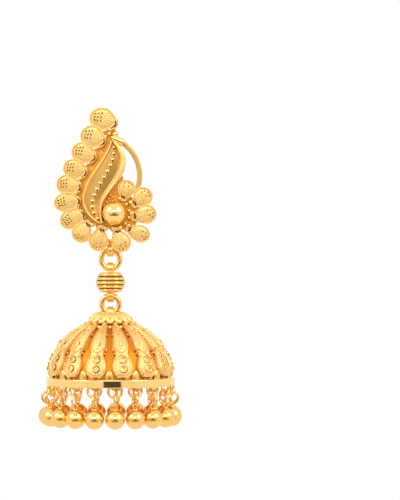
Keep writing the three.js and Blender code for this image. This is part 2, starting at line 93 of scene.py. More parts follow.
def modify(obj, kind, **settings):
    pick(obj)
    modifier = obj.modifiers.new(kind.lower(), kind)
    for key, value in settings.items():
        setattr(modifier, key, value)
    bpy.ops.object.modifier_apply(modifier=modifier.name)


def soften(obj, width, segments, angle=40):
    """Rounds every edge that is sharper than the angle."""
    modify(obj, "BEVEL", width=width, segments=segments, angle_limit=math.radians(angle))


def select_faces(obj, test=lambda centre, normal: True):
    """Enters edit mode with the faces whose centre and normal pass the test. Without a test it takes all."""
    pick(obj)
    bpy.ops.object.mode_set(mode="EDIT")
    bpy.ops.mesh.select_mode(type="FACE")
    bpy.ops.mesh.select_all(action="DESELECT")
    cage = bmesh.from_edit_mesh(obj.data)
    for face in cage.faces:
        face.select_set(test(face.calc_center_median(), face.normal))
    bmesh.update_edit_mesh(obj.data)


def dress(obj, material, body, nodes, smooth=40):
    """Smooths a finished piece, gives it its metal, ties it to a body and hides the solids it replaces."""
    pick(obj)
    bpy.ops.object.shade_smooth_by_angle(angle=math.radians(smooth))
    obj.data.materials.clear()
    obj.data.materials.append(material)
    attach(obj, body)
    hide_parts(*nodes)
    print(obj.name, len(obj.data.polygons), "faces")


# %% [markdown]
# Half of the jewel is wire and granules. A ring of wire is a torus. A bent wire is a curve with a round
# section, made a mesh at the end, because a curve follows any row of points. A granule is a small ball.

# %% Helpers for wire and granules
LEVEL = (0, 0, 0)
UPRIGHT = (math.pi / 2, 0, 0)
SIDEWAYS = (0, math.pi / 2, 0)


def wire_ring(name, diameter, wire, centre, turn=UPRIGHT, around=56, sides=14):
    """A round ring of wire. diameter is measured outside, and centre is in metres."""
    deselect()
    bpy.ops.mesh.primitive_torus_add(
        major_radius=(diameter - wire) / 2,
        minor_radius=wire / 2,
        major_segments=around,
        minor_segments=sides,
        location=centre,
        rotation=turn,
    )
    return named(name)


def granule(name, radius, centre, segments=16):
    deselect()
    bpy.ops.mesh.primitive_uv_sphere_add(
        segments=segments, ring_count=segments // 2 + 2, radius=radius, location=centre
    )
    return named(name)


def granules(name, radius, centres, segments):
    """One object of many granules."""
    return join(name, [granule(name, radius, centre, segments) for centre in centres])


def swept_wire(name, points, diameter, sides=3, widths=None):
    """A bent wire. widths scales its thickness at each point."""
    curve = bpy.data.curves.new(name, "CURVE")
    curve.dimensions = "3D"
    curve.bevel_depth = diameter / 2
    curve.bevel_resolution = sides
    curve.use_fill_caps = True
    line = curve.splines.new("POLY")
    line.points.add(len(points) - 1)
    if widths is None:
        widths = [1.0] * len(points)
    for spot, point, width in zip(line.points, points, widths):
        spot.co = (*point, 1)
        spot.radius = width
    obj = bpy.data.objects.new(name, curve)
    bpy.context.scene.collection.objects.link(obj)
    pick(obj)
    bpy.ops.object.convert(target="MESH")
    return bpy.context.active_object


# %% [markdown]
# Gold is a metal, so its colour is the colour of its reflections, and its recesses turn orange because
# light meets gold twice there. One node group makes the slight unevenness of hand work, which plain values
# can't give: a Noise texture lays faint clouds in the polish, and a Wave texture draws fine engraved lines
# with a deeper colour painted into their troughs as shade. Both read Object coordinates, which stay in place.


# %% The hand-worked group
def hand_work_group():
    group = bpy.data.node_groups.new("hand worked gold", "ShaderNodeTree")
    face = group.interface
    for name, kind, value in (
        ("Colour", "NodeSocketColor", (0.9, 0.6, 0.2, 1.0)),
        ("Recess Colour", "NodeSocketColor", (0.6, 0.3, 0.05, 1.0)),
        ("Cloud Scale", "NodeSocketFloat", 300.0),
        ("Roughness", "NodeSocketFloat", 0.2),
        ("Roughness Spread", "NodeSocketFloat", 0.06),
        ("Line Scale", "NodeSocketFloat", 500.0),
        ("Line Depth", "NodeSocketFloat", 0.0),
    ):
        face.new_socket(name, in_out="INPUT", socket_type=kind).default_value = value
    face.new_socket("Colour", in_out="OUTPUT", socket_type="NodeSocketColor")
    face.new_socket("Roughness", in_out="OUTPUT", socket_type="NodeSocketFloat")
    face.new_socket("Height", in_out="OUTPUT", socket_type="NodeSocketFloat")
    nodes, links = group.nodes, group.links
    inputs = nodes.new("NodeGroupInput").outputs
    outputs = nodes.new("NodeGroupOutput").inputs
    place = nodes.new("ShaderNodeTexCoord").outputs["Object"]

    clouds = nodes.new("ShaderNodeTexNoise")
    clouds.inputs["Detail"].default_value = 3.0
    links.new(place, clouds.inputs["Vector"])
    links.new(inputs["Cloud Scale"], clouds.inputs["Scale"])

    lines = nodes.new("ShaderNodeTexWave")
    lines.bands_direction = "DIAGONAL"
    lines.inputs["Distortion"].default_value = 1.2
    lines.inputs["Detail"].default_value = 1.5
    lines.inputs["Detail Scale"].default_value = 1.0
    links.new(place, lines.inputs["Vector"])
    links.new(inputs["Line Scale"], lines.inputs["Scale"])

    depth = nodes.new("ShaderNodeMath")
    depth.operation = "MULTIPLY"
    links.new(lines.outputs["Fac"], depth.inputs[0])
    links.new(inputs["Line Depth"], depth.inputs[1])
    links.new(depth.outputs[0], outputs["Height"])

    polish = nodes.new("ShaderNodeMath")
    polish.operation = "MULTIPLY_ADD"
    links.new(clouds.outputs["Fac"], polish.inputs[0])
    links.new(inputs["Roughness Spread"], polish.inputs[1])
    links.new(inputs["Roughness"], polish.inputs[2])
    links.new(polish.outputs[0], outputs["Roughness"])

    # The lines' troughs take the painted shade colour, as far as the lines are deep, as painted shade in the
    # engraved lines. Sockets 6 and 7 are the two colours of a Mix node, and its output 2 is the mixed one.
    trough = nodes.new("ShaderNodeMath")
    trough.operation = "SUBTRACT"
    trough.use_clamp = True
    links.new(inputs["Line Depth"], trough.inputs[0])
    links.new(depth.outputs[0], trough.inputs[1])
    tint = nodes.new("ShaderNodeMix")
    tint.data_type = "RGBA"
    links.new(trough.outputs[0], tint.inputs["Factor"])
    links.new(inputs["Colour"], tint.inputs[6])
    links.new(inputs["Recess Colour"], tint.inputs[7])
    links.new(tint.outputs[2], outputs["Colour"])
    return group


HAND_WORK = hand_work_group()


# %% Materials
def gold(name, slot, bump=0.0, **values):
    material = bpy.data.materials.new(name)
    material.use_nodes = True
    material["slot"] = slot
    nodes, links = material.node_tree.nodes, material.node_tree.links
    shader = nodes["Principled BSDF"]
    shader.inputs["Metallic"].default_value = 1.0
    worked = nodes.new("ShaderNodeGroup")
    worked.node_tree = HAND_WORK
    for key, value in values.items():
        worked.inputs[key.replace("_", " ").title()].default_value = value
    links.new(worked.outputs["Colour"], shader.inputs["Base Color"])
    links.new(worked.outputs["Roughness"], shader.inputs["Roughness"])
    if bump:
        relief = nodes.new("ShaderNodeBump")
        relief.inputs["Strength"].default_value = bump
        relief.inputs["Distance"].default_value = 0.06 * MM
        links.new(worked.outputs["Height"], relief.inputs["Height"])
        links.new(relief.outputs["Normal"], shader.inputs["Normal"])
    return material


YELLOW = (0.96, 0.62, 0.21, 1.0)
PALE = (1.0, 0.72, 0.29, 1.0)
PAINTED_SHADE_ORANGE = (0.74, 0.27, 0.022, 1.0)
PAINTED_SHADE_BROWN = (0.2, 0.07, 0.01, 1.0)

polished = gold("polished gold", "polished_gold", colour=YELLOW, roughness=0.13, roughness_spread=0.06)
mirror_gold = gold("bright gold", "polished_gold", colour=PALE, roughness=0.07, roughness_spread=0.05)
satin = gold(
    "engraved gold", "engraved_gold", bump=0.7, colour=(1.0, 0.76, 0.36, 1.0),
    recess_colour=(0.95, 0.53, 0.13, 1.0), roughness=0.34, roughness_spread=0.14,
    line_scale=1500.0, line_depth=0.8,
)
brushed = gold(
    "brushed gold", "engraved_gold", colour=PALE, cloud_scale=900.0, roughness=0.42, roughness_spread=0.14,
)
# The channel gold's deep orange, with brown in its fine lines, is painted shade: the orange of light meeting
# gold twice, painted on the dome and the cap's cone.
channel_gold_painted_shade = gold(
    "channel gold with painted shade", "engraved_gold", bump=0.5, colour=PAINTED_SHADE_ORANGE, recess_colour=PAINTED_SHADE_BROWN,
    roughness=0.32, roughness_spread=0.3, line_scale=1700.0, line_depth=0.12, cloud_scale=1400.0,
)
hollow_gold = gold(
    "hollow gold", "engraved_gold", colour=(0.9, 0.56, 0.17, 1.0), cloud_scale=500.0, roughness=0.26,
    roughness_spread=0.1,
)
# A deeper orange, painted shade, for the back plate where it shows between the petals and for the petals'
# grooves.
plate_gold_painted_shade = gold(
    "plate gold with painted shade", "engraved_gold", colour=(1.0, 0.54, 0.1, 1.0), cloud_scale=900.0, roughness=0.45,
    roughness_spread=0.15,
)
bow_gold = gold(
    "bow gold", "engraved_gold", colour=(0.86, 0.55, 0.17, 1.0), roughness=0.34, roughness_spread=0.14,
)
# A softer dark gold for fainter painted shade in marks, grooves and dots.
soft_painted_shade = gold(
    "soft painted shade gold", "engraved_gold", colour=(0.42, 0.19, 0.04, 1.0), roughness=0.4, roughness_spread=0.1,
)
# Near-black gold for small dark pieces that stand in for shade: painted shade in pits, hollows, grooves and
# under the curls.
painted_shade_gold = gold(
    "painted shade gold", "engraved_gold", colour=(0.13, 0.045, 0.006, 1.0), roughness=0.45,
    roughness_spread=0.1,
)
print("materials:", [m.name for m in bpy.data.materials if m.get("slot")])

# %% [markdown]
# Each petal of the stud is a small dish: a raised border round a sunk plate that swells in the middle. It is
# made from a circle whose inner end is narrowed. Insets make the border and the swell, which keeps the faces
# in clean rings, and a bevel rounds the border. Fine ridges run along the plate and a groove follows the
# border, a thin wire in a deeper orange of painted shade. Punched marks lie near the outer end, dark grains
# of painted shade, each with a bright grain beside it, and a wire curls round the inner end to a granule,
# with painted shade under the curl. Seven blunt petals make the long left row, and seven pointed ones go
# round the ball.

# %% The stud's sizes
STUD_WIDTH = 17.0 * MM
STUD_HEIGHT = 24.0 * MM
PETAL_LENGTH = 4.5 * MM
PETAL_WIDTH = 3.7 * MM
PETAL_RISE = 0.95 * MM
PETAL_BORDER = 0.2 * MM
PETAL_SINK = 0.16 * MM
BLUNT, POINTED = 0.6, 0.34
PLATE = 0.6 * MM
PETALS = [
    {"across": -0.072, "up": 0.445, "turn": 168, "long": 1.07, "wide": 1.07},
    {"across": -0.176, "up": 0.319, "turn": 166, "long": 0.98, "wide": 1.07},
    {"across": -0.269, "up": 0.203, "turn": 165, "long": 0.95, "wide": 1.03},
    {"across": -0.358, "up": 0.087, "turn": 170, "long": 0.92, "wide": 0.97},
    {"across": -0.423, "up": -0.025, "turn": 178, "long": 0.93, "wide": 1.0},
    {"across": -0.442, "up": -0.148, "turn": 194, "long": 0.99, "wide": 0.93},
    {"across": -0.388, "up": -0.266, "turn": 212, "long": 0.98, "wide": 0.97},
    {"across": -0.279, "up": -0.357, "turn": 240, "long": 0.92, "wide": 1.0},
    {"across": -0.116, "up": -0.41, "turn": 260, "long": 1.0, "wide": 0.97},
    {"across": 0.099, "up": -0.42, "turn": 295, "long": 0.98, "wide": 1.0},
    {"across": 0.276, "up": -0.37, "turn": 342, "long": 0.98, "wide": 0.87},
    {"across": 0.338, "up": -0.241, "turn": 16, "long": 1.0, "wide": 0.97},
    {"across": 0.314, "up": -0.122, "turn": 46, "long": 0.92, "wide": 0.97},
    {"across": 0.16, "up": -0.066, "turn": 76, "long": 0.82, "wide": 0.9},
]


# %% One petal, lying on its back with its outer end along +X
def tapered(along, point):
    """How wide the petal is at this share of its length. point is its inner end's share of its width."""
    return point + (1 - point) * min(1.0, along / (1 - point)) ** 0.7


def petal_dish(point):
    deselect()
    bpy.ops.mesh.primitive_circle_add(vertices=44, radius=0.5, fill_type="NGON")
    dish = named("petal_dish")
    for vertex in dish.data.vertices:
        vertex.co.y *= tapered(vertex.co.x + 0.5, point) * PETAL_WIDTH
        vertex.co.x *= PETAL_LENGTH
    select_faces(dish)
    bpy.ops.mesh.extrude_region_move(TRANSFORM_OT_translate={"value": (0, 0, PETAL_RISE)})
    bpy.ops.mesh.inset(thickness=PETAL_BORDER, depth=0.0)
    bpy.ops.mesh.inset(thickness=0.05 * MM, depth=-PETAL_SINK)
    for share, swell in ((0.82, 0.09), (0.72, 0.07), (0.55, 0.04), (0.3, 0.01)):
        bpy.ops.mesh.extrude_region_move(TRANSFORM_OT_translate={"value": (0, 0, swell * MM)})
        bpy.ops.transform.resize(value=(share, share, 1))
    bpy.ops.object.mode_set(mode="OBJECT")
    soften(dish, 0.06 * MM, 2, angle=35)
    return dish


def on_plate(along, aside, lift=0.0):
    """A point on the petal's plate, in millimetres from its centre."""
    share = math.hypot(along * MM / PETAL_LENGTH, aside * MM / PETAL_WIDTH) * 2
    height = np.interp(share, [0.0, 0.35, 0.6, 0.8, 0.9], [0.05, 0.03, -0.01, -0.08, -0.15])
    return Vector((along * MM, aside * MM, PETAL_RISE + (height + lift) * MM))


# %% What is worked on a petal
# A ridge's place across the petal and where it starts along it, in millimetres from the petal's centre.
RIDGES = [(-1.1, -0.9), (-0.74, -1.3), (-0.38, -1.5), (0.0, -1.6), (0.38, -1.5), (0.74, -1.2)]
RIDGE_END = 0.75
GROOVE_REACH = 0.44
# A mark's place along the petal and then across it. The shades have their height as well.
BLUNT_MARKS = [
    (1.35, -0.62), (1.4, -0.1), (1.3, 0.42), (0.85, -0.78), (0.9, -0.2), (0.85, 0.4),
    (0.35, -0.85), (0.4, -0.25), (0.35, 0.35),
]
POINTED_MARKS = [(1.38, -0.72), (1.6, -0.15), (1.36, 0.48), (0.95, -0.3), (0.8, 0.6)]
SHADES = [(-1.5, 0.62, 0.88), (-1.42, 0.22, 0.88), (-1.6, -0.05, 0.88)]


def petal_ridges():
    """Each ridge has its own place across the petal and its own start."""
    ridges = []
    for aside, start in RIDGES:
        line = [on_plate(along, aside) for along in np.linspace(start, RIDGE_END, 8)]
        ridges.append(swept_wire("ridge", line, 0.16 * MM, sides=1))
    return join("petal_ridges", ridges)


def petal_groove(point):
    line = []
    for turn in np.radians(np.linspace(-150, 150, 30)):
        along = GROOVE_REACH * math.cos(turn) * PETAL_LENGTH
        wide = tapered((math.cos(turn) + 1) / 2, point) * PETAL_WIDTH
        aside = GROOVE_REACH * math.sin(turn) * wide
        line.append(Vector((along, aside, PETAL_RISE - 0.1 * MM)))
    return swept_wire("petal_groove", line, 0.17 * MM, sides=1)


# Dark grains of painted shade in the punched pits.
def petal_marks(places):
    return granules("marks", 0.14 * MM, [on_plate(x, y) for x, y in places], 8)


def petal_glints(places):
    return granules("glints", 0.15 * MM, [on_plate(x + 0.2, y + 0.18, 0.03) for x, y in places], 8)


def petal_arc(centre, reach, height, start, end, steps):
    """Part of an ellipse round the petal's inner end, in millimetres and degrees."""
    line = []
    for turn in np.radians(np.linspace(start, end, steps)):
        x = centre[0] + reach[0] * math.cos(turn)
        y = centre[1] + reach[1] * math.sin(turn)
        line.append(Vector((x, y, height)) * MM)
    return line


def blunt_curl():
    line = petal_arc((-1.5, 0.3), (0.85, 1.0), 0.72, 255, 105, 14)
    tip = granule("tip", 0.34 * MM, Vector((-1.42, 1.42, 0.7)) * MM, 14)
    return join("blunt_curl", [swept_wire("curl", line, 0.34 * MM), tip])


def pointed_curl():
    line = petal_arc((-1.75, 0.1), (0.5, 0.62), 0.8, 250, 110, 12)
    tip = granule("tip", 0.48 * MM, Vector((-1.92, 0.85, 0.95)) * MM, 16)
    return join("pointed_curl", [swept_wire("curl", line, 0.32 * MM), tip])


# The dark wire and grains under the curls are painted shade.
def blunt_shade():
    return swept_wire("blunt_shade", petal_arc((-1.5, 0.3), (0.6, 0.72), 0.9, 215, 130, 8), 0.2 * MM)


def pointed_shade():
    return granules("pointed_shade", 0.21 * MM, [Vector(place) * MM for place in SHADES], 8)


# %% Fourteen petals
def petal_move(row):
    """From the petal's own frame to its place on the stud, facing forward."""
    angle = math.radians(row["turn"])
    out = Vector((math.cos(angle), 0, math.sin(angle)))
    side = Vector((-math.sin(angle), 0, math.cos(angle)))
    turn = Matrix((out, side, Vector((0, -1, 0)))).transposed().to_4x4()
    place = Vector((row["across"] * STUD_WIDTH, -PLATE - 0.04 * MM, row["up"] * STUD_HEIGHT))
    return Matrix.Translation(place) @ turn @ Matrix.Diagonal((row["long"], row["wide"], 1, 1))


def copy_of(obj, name, move):
    """A copy with its own mesh, moved by a matrix."""
    twin = bpy.data.objects.new(name, obj.data.copy())
    twin.data.transform(move)
    bpy.context.scene.collection.objects.link(twin)
    return twin


def repeat(model, name, places):
    """One object of many copies, and the model is taken away."""
    copies = join(name, [copy_of(model, name, place) for place in places])
    bpy.data.objects.remove(model)
    return copies


def two_rows(name, blunt, pointed):
    return join(name, [repeat(blunt, "left", row_left), repeat(pointed, "round", row_round)])


# Every other petal lies a hair further forward, so that petals which overlap don't share a plane.
STEP = Matrix.Translation((0, -0.05 * MM, 0))
moves = [STEP @ petal_move(row) if k % 2 else petal_move(row) for k, row in enumerate(PETALS)]
row_left, row_round = moves[:7], moves[7:]

petals = two_rows("stud_petals", petal_dish(BLUNT), petal_dish(POINTED))
dress(petals, brushed, "stud", ["stud"])
dress(repeat(petal_ridges(), "stud_petal_ridges", moves), brushed, "stud", ["stud"], smooth=60)
grooves = two_rows("stud_petal_grooves", petal_groove(BLUNT), petal_groove(POINTED))
dress(grooves, plate_gold_painted_shade, "stud", ["stud"], smooth=60)
curls = two_rows("stud_petal_curls", blunt_curl(), pointed_curl())
dress(curls, polished, "stud", ["stud"], smooth=60)
shades = two_rows("stud_curl_shades", blunt_shade(), pointed_shade())
dress(shades, painted_shade_gold, "stud", ["stud"], smooth=60)
glints = two_rows("stud_petal_glints", petal_glints(BLUNT_MARKS), petal_glints(POINTED_MARKS))
dress(glints, mirror_gold, "stud", ["stud"])
dress(repeat(petal_marks(BLUNT_MARKS), "stud_punched_marks", row_left), painted_shade_gold, "stud", ["stud"])
dress(repeat(petal_marks(POINTED_MARKS), "stud_soft_marks", row_round), soft_painted_shade, "stud", ["stud"])

# %% [markdown]
# The leaf is an S-shaped dish with a wide polished border that is broadest on the right, a hollow face and
# a row of granules down its middle. A grid gives it rows and columns. Each row is laid between the leaf's
# two edges, and its height across follows the border, the hollow and the low midrib.

# %% The leaf's outline and its height
LEAF_WIDTH = 7.2 * MM
LEAF_HEIGHT = 14.1 * MM
LEAF_TOP = 6.9 * MM
LEAF_RISE = 1.5 * MM
LEAF_DOWN = [0.0, 0.072, 0.19, 0.297, 0.416, 0.524, 0.631, 0.726, 0.81, 0.893, 0.958, 1.0]
LEAF_LEFT = [0.03, -0.018, -0.146, -0.286, -0.45, -0.567, -0.636, -0.656, -0.613, -0.519, -0.379, -0.24]
LEAF_RIGHT = [0.09, 0.215, 0.339, 0.349, 0.279, 0.139, -0.018, -0.146, -0.197, -0.205, -0.205, -0.19]
BORDER_ASIDE = [-1.0, -0.96, -0.9, -0.82, 0.0, 0.6, 0.7, 0.88, 1.0]
BORDER_RISE = [0.55, 0.92, 0.95, 0.64, 0.74, 0.58, 0.95, 1.0, 0.6]


def eased(x, xs, ys):
    """A smooth curve through the points of a table."""
    slopes = np.gradient(ys, xs)
    i = int(np.clip(np.searchsorted(xs, x) - 1, 0, len(xs) - 2))
    gap = xs[i + 1] - xs[i]
    t = (x - xs[i]) / gap
    start = (1 + 2 * t) * (1 - t) ** 2 * ys[i] + t * (1 - t) ** 2 * gap * slopes[i]
    return start + t * t * (3 - 2 * t) * ys[i + 1] + t * t * (t - 1) * gap * slopes[i + 1]


def leaf_point(aside, down, lift=0.0):
    """aside runs from -1 at the left edge to 1 at the right one, and down from 0 at the top to 1."""
    left = eased(down, LEAF_DOWN, LEAF_LEFT) * LEAF_WIDTH
    right = eased(down, LEAF_DOWN, LEAF_RIGHT) * LEAF_WIDTH
    x = (left + right) / 2 + aside * (right - left) / 2
    rise = np.interp(aside, BORDER_ASIDE, BORDER_RISE) * LEAF_RISE
    return Vector((x, -PLATE - rise - lift, LEAF_TOP - down * LEAF_HEIGHT))


# %% The leaf
deselect()
bpy.ops.mesh.primitive_grid_add(x_subdivisions=28, y_subdivisions=44, size=2)
leaf = named("stud_leaf")
for vertex in leaf.data.vertices:
    vertex.co = leaf_point(vertex.co.x, (1 - vertex.co.y) / 2)
select_faces(leaf)
bpy.ops.mesh.extrude_region_move(TRANSFORM_OT_translate={"value": (0, 0, 0)})
bpy.ops.object.mode_set(mode="OBJECT")
half = len(leaf.data.vertices) // 2
for vertex in leaf.data.vertices[:half]:
    vertex.co.y = -PLATE + 0.05 * MM
select_faces(leaf)
bpy.ops.mesh.normals_make_consistent(inside=False)
bpy.ops.object.mode_set(mode="OBJECT")
dress(leaf, hollow_gold, "stud", ["stud"], smooth=60)

# %% The leaf's granules, with a small dark grain of painted shade low on each
MIDRIB = np.linspace(0.08, 0.95, 13)
MIDRIB_ASIDE = -0.1
SHADE_STEP = Vector((0.03 * MM, 0, -0.12 * MM))
grain_places = [leaf_point(MIDRIB_ASIDE, down, -0.05 * MM) for down in MIDRIB]
dress(granules("leaf_granules", 0.42 * MM, grain_places, 14), mirror_gold, "stud", ["stud"])
shade_places = [leaf_point(MIDRIB_ASIDE, down, 0.2 * MM) + SHADE_STEP for down in MIDRIB]
dress(granules("leaf_granule_shades", 0.21 * MM, shade_places, 10), painted_shade_gold, "stud", ["stud"])

# %% [markdown]
# The border of the leaf is burnished bright on the real jewel. A wire along each edge, made by sweeping a
# small round section, gives that unbroken line of light better than a change of roughness would. The right
# one is thickest where the leaf is widest. A finer line runs inside it, and a wire lies left of the leaf.

# %% Bright wires along the leaf
STEPS = np.linspace(0.0, 1.0, 50)
EDGE_WIDTHS = np.interp(STEPS, [0.0, 0.12, 0.35, 0.55, 1.0], [0.4, 0.85, 0.95, 0.42, 0.34])
edge_left = swept_wire("leaf_edge", [leaf_point(-0.95, t) for t in STEPS], 0.3 * MM)
right_line = [leaf_point(0.84, t) for t in STEPS]
edge_right = swept_wire("leaf_edge_right", right_line, 1.1 * MM, widths=EDGE_WIDTHS)
inner_line = [leaf_point(0.6, t, -0.05 * MM) for t in STEPS[6:]]
inner_right = swept_wire("leaf_inner_line", inner_line, 0.24 * MM)
outer_line = [leaf_point(-1.0, t, -0.8 * MM) + Vector((-0.75 * MM, 0, 0)) for t in STEPS[:-6]]
outer_wire = swept_wire("leaf_outer_wire", outer_line, 0.5 * MM)
dress(outer_wire, polished, "stud", ["stud"], smooth=60)
dress(join("leaf_border", [edge_left, edge_right, inner_right]), brushed, "stud", ["stud"], smooth=60)

# %% [markdown]
# A hollow ball sits in a small collar below the leaf, with granules round it and above it on the plate.
# Beside them a flat wire bows out to the right, made by spinning a rectangle about the bow's centre, with a
# plain sleeve where it is soldered at the top.

# %% The ball with its collar
BALL_RADIUS = 2.06 * MM
BALL_PLACE = Vector((0.68 * MM, -2.25 * MM, -5.5 * MM))
parts = [
    granule("stud_ball", BALL_RADIUS, BALL_PLACE, 48),
    wire_ring("collar", 3.7 * MM, 0.35 * MM, BALL_PLACE + Vector((0, 1.05 * MM, 0))),
]
dress(join("stud_ball", parts), mirror_gold, "stud", ["stud"])


# %% The granules on the plate and the deep shade between ball and leaf
def round_ball(reach, degrees):
    """A point beside the ball, near the plate."""
    turn = math.radians(degrees)
    return BALL_PLACE + reach * Vector((math.cos(turn), 0.35, math.sin(turn)))


PLATE_GRAINS = [(-0.3, -3.04), (0.34, -3.4), (-0.02, -2.4), (0.71, -1.94), (-0.58, -3.7), (0.3, -2.75)]
parts = [granule("grain", 0.36 * MM, round_ball(2.6 * MM, turn), 14)
         for turn in (62, 36, 10, -16, -42, -68, -95)]
parts += [granule("grain", 0.26 * MM, Vector((x, -1.0, z)) * MM, 10) for x, z in PLATE_GRAINS]
dress(join("ball_granules", parts), polished, "stud", ["stud"])
line = [round_ball(2.2 * MM, turn) for turn in np.linspace(148, 218, 12)]
thin_ends = np.sin(np.linspace(0.25, 2.9, 12))
shade = swept_wire("ball_shade", line, 0.42 * MM, widths=thin_ends)
dress(shade, painted_shade_gold, "stud", ["stud"], smooth=60)

# %% The side bow and its sleeve
BOW_CENTRE = Vector((-1.7 * MM, -0.45 * MM, 1.0 * MM))
BOW_RADIUS = 6.74 * MM
BOW_WIDTH, BOW_DEPTH = 0.9 * MM, 0.55 * MM
BOW_FROM, BOW_TO = math.radians(68), math.radians(-30)
SLEEVE_RADIUS = 0.66 * MM
SLEEVE_LENGTH = 2.1 * MM
KNOTS = [(0.42, -0.2, 8.2), (0.58, 0.85, 8.1), (0.3, 0.3, 7.6), (0.32, -0.75, 7.75)]

deselect()
bpy.ops.mesh.primitive_plane_add(size=1)
bow = named("side_bow")
bow.data.transform(Matrix.Diagonal((BOW_WIDTH, BOW_DEPTH, 1, 1)))
bow.data.transform(Matrix.Translation((BOW_RADIUS, 0, 0)))
bow.data.transform(Matrix.Translation(BOW_CENTRE) @ Matrix.Rotation(-BOW_FROM, 4, "Y"))
select_faces(bow)
bpy.ops.mesh.spin(steps=40, angle=BOW_FROM - BOW_TO, center=BOW_CENTRE, axis=(0, -1, 0))
bpy.ops.mesh.select_all(action="SELECT")
bpy.ops.mesh.remove_doubles(threshold=0.001 * MM)
bpy.ops.mesh.normals_make_consistent(inside=False)
bpy.ops.object.mode_set(mode="OBJECT")
soften(bow, 0.1 * MM, 3)
lean = BOW_FROM - 0.08
sleeve_place = BOW_CENTRE + Vector((BOW_RADIUS * math.cos(lean), -1.2 * MM, BOW_RADIUS * math.sin(lean)))
deselect()
bpy.ops.mesh.primitive_cylinder_add(
    vertices=32, radius=SLEEVE_RADIUS, depth=SLEEVE_LENGTH,
    location=sleeve_place, rotation=(0, math.pi - lean, 0),
)
sleeve = named("bow_sleeve")
soften(sleeve, 0.12 * MM, 3)
dress(sleeve, mirror_gold, "stud", ["stud"])
dress(bow, bow_gold, "stud", ["stud"])
knots = [granule("knot", radius * MM, (x * MM, -1.0 * MM, z * MM), 18) for radius, x, z in KNOTS]
dress(join("stud_knots", knots), polished, "stud", ["stud"])

# %% [markdown]
# Everything on the stud is soldered to a flat back plate. It shows between the petals from the front and
# whole from behind. Its outline runs through the petals' feet and dips in between them, deeply where the
# jewel has a gap between two petals, so it comes from the same table as they do.


# %% The back plate
def petal_spot(row, along, aside=0.0):
    angle = math.radians(row["turn"])
    x = row["across"] * STUD_WIDTH + math.cos(angle) * along - math.sin(angle) * aside
    z = row["up"] * STUD_HEIGHT + math.sin(angle) * along + math.cos(angle) * aside
    return Vector((x, 0, z))


def leaf_side(down):
    x = (eased(down, LEAF_DOWN, LEAF_RIGHT) - 0.05) * LEAF_WIDTH
    return Vector((x, 0, LEAF_TOP - down * LEAF_HEIGHT))


# How far in the outline dips after each petal, in millimetres.
DIPS = [1.7, 2.1, 2.1, 2.1, 2.1, 2.1, 0.9, 2.1, 2.1, 2.1, 0.9, 0.7, 0.7]
outline = []
for row, following, dip in zip(PETALS, PETALS[1:], DIPS):
    outline.append(petal_spot(row, 0.5 * MM))
    outline.append((petal_spot(row, -dip * MM) + petal_spot(following, -dip * MM)) / 2)
outline.append(petal_spot(PETALS[-1], 0.5 * MM))
outline.append(petal_spot(PETALS[-1], 0, 1.3 * MM))
outline += [leaf_side(down) for down in (0.5, 0.4, 0.3, 0.2, 0.1)]
outline.append(petal_spot(PETALS[0], -1.7 * MM, -0.4 * MM))
deselect()
bpy.ops.mesh.primitive_circle_add(vertices=len(outline), radius=1, fill_type="NGON")
plate = named("stud_back_plate")
for vertex, point in zip(plate.data.vertices, outline):
    vertex.co = point
select_faces(plate)
bpy.ops.mesh.extrude_region_move(TRANSFORM_OT_translate={"value": (0, -PLATE - 0.1 * MM, 0)})
bpy.ops.mesh.select_all(action="SELECT")
bpy.ops.mesh.normals_make_consistent(inside=False)
bpy.ops.object.mode_set(mode="OBJECT")
dress(plate, plate_gold_painted_shade, "stud", ["stud"], smooth=30)

# %% [markdown]
# Jewellers hang one part from the next with loops of wire. Here each loop is two wires side by side, bent
# round the ring that they hold, so that it shows as a pair of small bright bars inside the ring.

# %% The rings and the loops that hold them
RING_WIRE = 0.95 * MM
LOOP_SIZE = 2.4 * MM
LOOP_WIRE = 0.66 * MM
LOOP_APART = 0.5 * MM
upper_low, upper_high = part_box("upper_ring")
lower_low, lower_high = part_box("lower_ring")


def hold(low, high, top):
    """The middle of a ring's wire at its top or at its bottom."""
    height = high.z - RING_WIRE / 2 if top else low.z + RING_WIRE / 2
    return Vector((0, 0, height))


def double_loop(name, centre):
    pair = [wire_ring(name, LOOP_SIZE, LOOP_WIRE, centre + Vector((x, 0, 0)), SIDEWAYS, 36, 12)
            for x in (-LOOP_APART / 2, LOOP_APART / 2)]
    return join(name, pair)


for node, low, high in (("upper_ring", upper_low, upper_high), ("lower_ring", lower_low, lower_high)):
    ring = wire_ring(node + "_wire", high.z - low.z, RING_WIRE, (low + high) / 2, around=72, sides=20)
    dress(ring, polished, node, [node])

# A short neck carries the stud's loop.
neck_top = -9.9 * MM
neck_low = hold(upper_low, upper_high, True).z + 0.85 * MM
deselect()
bpy.ops.mesh.primitive_cylinder_add(
    vertices=24, radius=0.42 * MM, depth=neck_top - neck_low,
    location=(0, -0.35 * MM, (neck_top + neck_low) / 2),
)
neck = named("loop_neck")
soften(neck, 0.1 * MM, 2)
stud_loop = double_loop("stud_loop", hold(upper_low, upper_high, True))
dress(join("stud_loop", [stud_loop, neck]), polished, "stud", ["stud"])

# %% [markdown]
# The bead is wound from round wire: five turns over a core, the middle one widest. Five rings over a core
# make the same shape, with the deep grooves that a lathe shape would soften. Gold seen in such a groove is
# nearly black, so a dark ring of painted shade lies in each.

